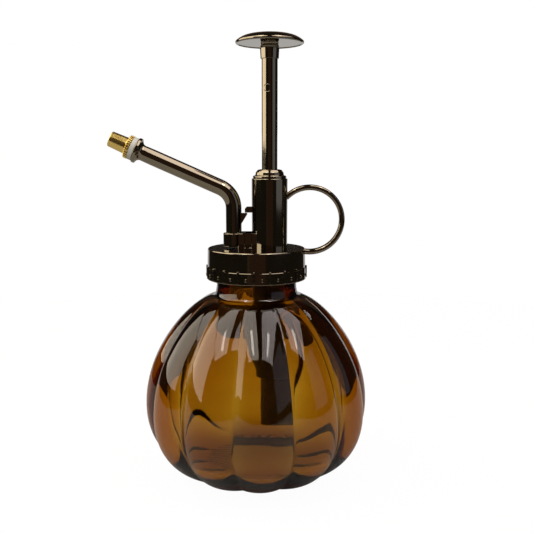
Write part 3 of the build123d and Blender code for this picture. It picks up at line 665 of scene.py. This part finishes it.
# ---------------------------------------------------------------------------
# Plunger rod: plated tube that slides in the gland. On its front is a round mark, slightly
# flat and with a fine groove around it, such as the ejector of a mould leaves.
# ---------------------------------------------------------------------------
rod_bore_r, pad_angle, pad_z, pad_r = 2.2, radians(-109), 169.9, 1.58
groove_half_w, groove_depth, pad_flatness = 0.15, 0.06, 0.25
pad_rows = [(rod_r, pad_z - 2.0 + 0.09 * k) for k in range(45)]
rod = turn_up("rod_tube", [(rod_bore_r, rod_low.z), (rod_r, rod_low.z, 0.15), (rod_r, 140.0)] + pad_rows
              + [(rod_r, 178.0), (rod_r, rod_high.z), (rod_bore_r, rod_high.z)], 256, closed=True)
for v in rod.data.vertices:
    r, a = Vector(v.co[:2]).length / mm, atan2(v.co.y, v.co.x) - pad_angle
    off = Vector((a * rod_r, v.co.z / mm - pad_z)).length
    if abs(r - rod_r) > 0.01 or off > pad_r + groove_half_w:
        continue
    new_r = r
    if off < pad_r:
        flat = rod_r * cos(pad_r / rod_r) / cos(a)
        new_r -= (r - min(r, flat)) * pad_flatness
    beside = abs(off - pad_r) / groove_half_w
    if beside < 1:
        new_r -= groove_depth * (0.5 + 0.5 * cos(pi * beside))
    v.co.x, v.co.y = v.co.x * new_r / r, v.co.y * new_r / r
rod.data.transform(at(barrel_x))
settle(rod)
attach(rod, "plunger")
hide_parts("plunger_rod")
dress(rod, bronze)

# ---------------------------------------------------------------------------
# Knob collar and knob: plated sleeve around the rod's top, and the mushroom knob that is
# pressed over it. Flared neck, flat underside, thin rolled rim and a shallow crown.
# ---------------------------------------------------------------------------
collar_low, collar_high = reach("knob_collar")
knob_low, knob_high = reach("knob")
collar_r, knob_r, under_z = (collar_high.x - collar_low.x) / 2, (knob_high.x - knob_low.x) / 2, 188.5
collar = turn_up("collar_sleeve", [
    (rod_r, collar_low.z), (collar_r - 0.22, collar_low.z, 0.12), (collar_r, collar_high.z - 0.3, 0.3),
    (collar_r - 0.15, collar_high.z - 0.03, 0.08), (rod_r, collar_high.z - 0.03)],
    96, at(barrel_x), closed=True)
button = turn_up("knob_button", [
    (0, rod_high.z), (rod_r, rod_high.z), (rod_r, collar_high.z), (collar_r - 0.15, collar_high.z, 0.08),
    (collar_r, collar_high.z + 0.35, 0.2), (collar_r - 0.4, under_z - 0.5, 0.4),
    (collar_r - 0.1, under_z, 0.25), (knob_r - 2.2, under_z), (knob_r - 1.2, under_z)]
    + bezier(((knob_r - 1.0, under_z - 0.02), (knob_r - 0.7, under_z - 0.55),
              (knob_r + 0.25, under_z - 0.3), (knob_r - 0.12, under_z + 0.75)), 10)
    + bezier(((knob_r - 0.2, under_z + 0.85), (11.6, 191.7), (8.6, knob_high.z + 0.02),
              (0, knob_high.z)), 36), 128, at(barrel_x))
for piece, node in ((collar, "knob_collar"), (button, "knob")):
    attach(piece, "plunger")
    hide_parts(node)
    dress(piece, bronze)

# ---------------------------------------------------------------------------
# Spout: plated tube, bent once and flared into a flange. It is pushed into the socket,
# and the barb on its side clips under the catch on the barrel.
# ---------------------------------------------------------------------------
spout_low = reach("spout_tube")[0]
spout_bore_r, spout_foot_z, bend_r, bend_z, rise = 2.3, spout_low.z, 9.9, 118.9, radians(23.8)
bend_angle = pi / 2 - rise
riser = bend_z - spout_foot_z
arm = 39.7
arm_foot = riser + bend_r * bend_angle
tube_end = arm_foot + arm
flare_r, flare_t = 5.55, 1.35
barb_x, barb_foot_z, barb_top_z, barb_half_w = -3.95, 111.0, 116.7, 1.5
bend_rows = [riser + bend_r * bend_angle * k / 26 for k in range(27)]

spout = turn_up("spout_pipe", [(spout_bore_r, 0), (spout_r, 0, 0.2), (spout_r, 4)]
                + [(spout_r, s) for s in bend_rows] + [(spout_r, tube_end - 8)]
                + bezier(((spout_r - 0.08, tube_end - 3.6), (spout_r, tube_end - 2.2),
                          (4.1, tube_end - 1.9), (flare_r - 0.1, tube_end - flare_t)), 10)
                + [(flare_r, tube_end - flare_t + 0.2), (flare_r, tube_end, 0.25), (spout_bore_r, tube_end)]
                + [(spout_bore_r, s) for s in reversed(bend_rows)], 72, closed=True)
bend_centre = Vector((socket_x - bend_r, 0, bend_z))
for v in spout.data.vertices:
    x, y, s = v.co / mm
    turn = min(max(s - riser, 0) / bend_r, bend_angle)
    out, on = Vector((cos(turn), 0, sin(turn))), Vector((-sin(turn), 0, cos(turn)))
    straight = s - riser if s < riser else max(s - arm_foot, 0)
    v.co = (bend_centre + out * (bend_r + x) + on * straight + Vector((0, y, 0))) * mm
settle(spout)
barb = prism("barb", [(socket_x, barb_foot_z), (socket_x + spout_r - 0.15, barb_foot_z + 0.9),
                      (barb_x, barb_top_z - 0.5), (barb_x, barb_top_z), (socket_x, barb_top_z)],
             barb_half_w, 0.15)
drill(barb, socket_x, spout_r - 0.4, 105, 120, steps=48)
spout = join_shells("spout_pipe", [spout, barb])
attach(spout, "head")
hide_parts("spout_tube")
dress(spout, bronze)

# ---------------------------------------------------------------------------
# Nozzle washer: moulded nylon ring between the spout's flange and the nozzle cap.
# ---------------------------------------------------------------------------
out, on = Vector((sin(rise), 0, cos(rise))), Vector((-cos(rise), 0, sin(rise)))
arm_start = (bend_centre + out * bend_r) * mm
arm_seat = Matrix.Translation(arm_start) @ Matrix((out, on.cross(out), on)).transposed().to_4x4()
stem_r, stem_run, washer_r, washer_foot, washer_t = 2.68, 0.06, 5.05, arm + 0.08, 2.0
washer = turn_up("washer_ring", [
    (stem_r + stem_run, washer_foot), (washer_r, washer_foot, 0.2), (washer_r, washer_foot + washer_t, 0.2),
    (stem_r + stem_run, washer_foot + washer_t)], 80, arm_seat, closed=True)
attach(washer, "washer")
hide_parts("nozzle_washer")
dress(washer, nylon)

# ---------------------------------------------------------------------------
# Nozzle cap, stem and swirl plug: brass, turned on a lathe. The cap has a knurled collar
# and a fine mist hole, and shows the tool's rings; it screws along the stem.
# ---------------------------------------------------------------------------
cap_foot, knurl_r, knurl_t, knurls, knurl_depth = washer_foot + washer_t + 0.08, 5.15, 1.6, 28, 0.42
nozzle_r, tip_r, nozzle_end, mist_hole_r = 3.63, 3.38, 51.5, 0.4
nozzle = turn_up("nozzle_barrel", [
    (stem_r + stem_run, cap_foot), (knurl_r - 0.25, cap_foot), (knurl_r, cap_foot + 0.15),
    (knurl_r, cap_foot + knurl_t), (knurl_r - 0.35, cap_foot + knurl_t + 0.3),
    (nozzle_r + 0.1, cap_foot + knurl_t + 0.45), (nozzle_r, cap_foot + knurl_t + 0.8),
    (tip_r, nozzle_end, 0.35), (1.0, nozzle_end, 0.1), (mist_hole_r, nozzle_end - 0.6),
    (mist_hole_r, nozzle_end - 2.0), (stem_r + stem_run, nozzle_end - 2.4)], knurls * 10, closed=True)
for v in nozzle.data.vertices:
    r = Vector(v.co[:2]).length / mm
    if r > nozzle_r + 0.5:
        notch = max(0, cos(knurls * atan2(v.co.y, v.co.x))) ** 1.5
        v.co.x, v.co.y = (c * (1 - knurl_depth * notch / r) for c in v.co[:2])
nozzle.data.transform(arm_seat)
settle(nozzle, 40)
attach(nozzle, "nozzle")
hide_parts("nozzle_cap")

# Turning rings 0.35 mm apart, coarser than a fine cut so that they show.
brass, tree, shader = new_finish("turned brass, polished", Metallic=1.0)
mottle(tree, shader, "d6ba66", "e6cd80", 2.0, (0.18, 0.26))
place = add_node(tree, "ShaderNodeTexCoord")
lathe_axis = add_node(tree, "ShaderNodeMapping", [(place.outputs["Object"], "Vector")], vector_type="POINT",
                      sockets={"Rotation": (0, -(pi / 2 - rise), 0)})
rings = add_node(tree, "ShaderNodeTexWave", [(lathe_axis.outputs["Vector"], "Vector")], bands_direction="Z",
                 sockets={"Scale": 0.314 / (0.35 * mm), "Distortion": 0.3})
tool_marks = add_node(tree, "ShaderNodeBump", [(rings.outputs["Fac"], "Height")],
                      sockets={"Strength": 0.3, "Distance": 0.004 * mm})
tree.links.new(tool_marks.outputs["Normal"], shader.inputs["Normal"])
dress(nozzle, brass)
for node in ("nozzle_stem", "swirl_plug"):
    dress(node_objects[node], brass)
